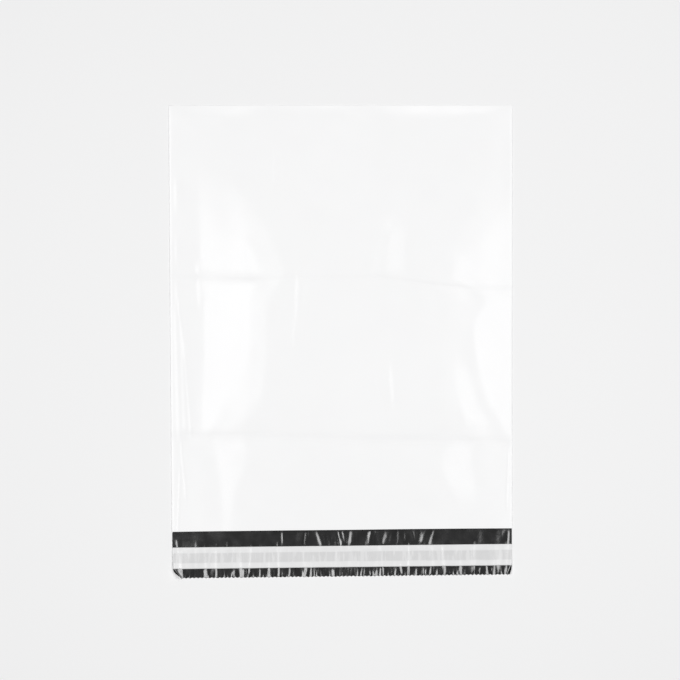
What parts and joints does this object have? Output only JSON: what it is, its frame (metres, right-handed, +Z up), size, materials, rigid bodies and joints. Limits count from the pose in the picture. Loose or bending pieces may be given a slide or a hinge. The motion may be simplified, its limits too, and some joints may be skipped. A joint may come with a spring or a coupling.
{
  "type": "poly mailer bag",
  "caption": "Glossy white plastic mailing bag, dark inside, open at one end, with a serrated sealing flap that carries an adhesive strip under a peel-off liner.",
  "frame": {"origin": "on the table, under the centre of the bag with its flap open, where the flat rear panel rests", "axes": "+Z up out of the front panel, +Y along the bag from the flap towards the closed end, +X across it to the right"},
  "size_m": [0.35, 0.482, 0.0116],
  "materials": {
    "white_film": "glossy",
    "adhesive": "glossy",
    "liner": "satin"
  },
  "bodies": {
    "root": {"film_bag": "white_film", "adhesive_strip": "adhesive", "release_liner": "liner"}
  },
  "joints": []
}
